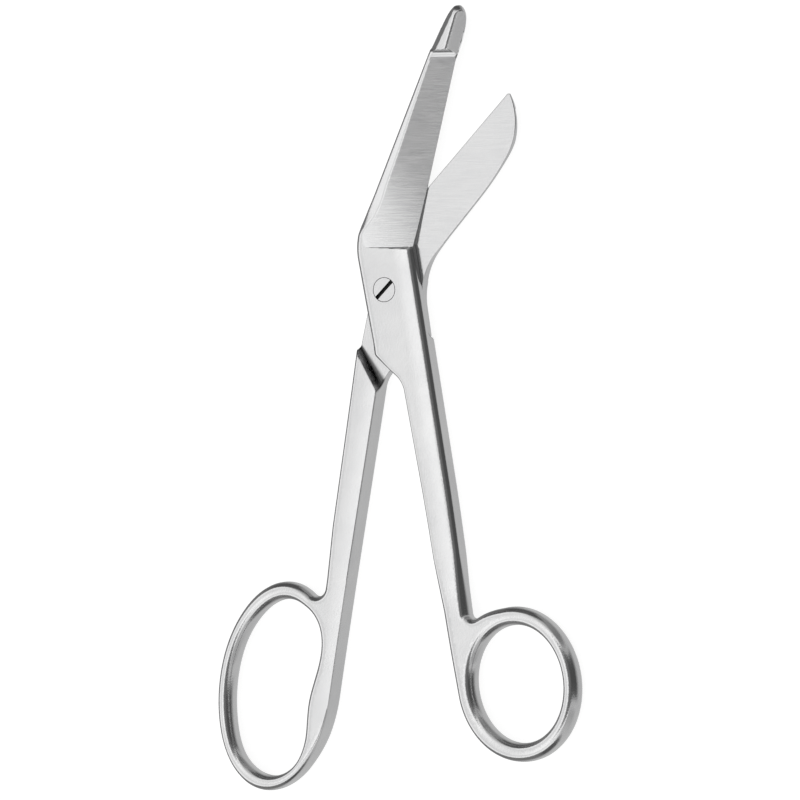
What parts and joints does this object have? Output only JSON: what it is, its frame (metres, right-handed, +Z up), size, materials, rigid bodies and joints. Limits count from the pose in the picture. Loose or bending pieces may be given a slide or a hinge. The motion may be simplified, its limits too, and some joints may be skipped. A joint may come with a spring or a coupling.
{
  "type": "bandage scissors",
  "caption": "Bandage scissors with knee-bent blades, a blunt probe tip, a small oval thumb ring and a larger finger ring, hinged on a flush slotted screw.",
  "frame": {"origin": "on the pivot axis, at the underside of the scissors where they lie on a flat surface", "axes": "+Z up along the pivot axis, through the thickness; +Y towards the blade tips; +X to the side of the small ring and the large-ring half's blade"},
  "size_m": [0.1029, 0.1992, 0.006],
  "materials": {
    "satin_steel": "satin ground stainless steel, cross-ground on the blades",
    "screw_steel": "turned and polished stainless steel"
  },
  "bodies": {
    "large_ring_half": {"large_ring_half": "satin_steel", "pivot_screw": "screw_steel"},
    "probe_half": {"probe_half": "satin_steel"}
  },
  "joints": [
    {"name": "pivot", "type": "hinge", "parent": "large_ring_half", "child": "probe_half", "pos_m": [0, 0, 0], "axis": [0, 0, 1], "range_deg": [-16, 70]}
  ]
}
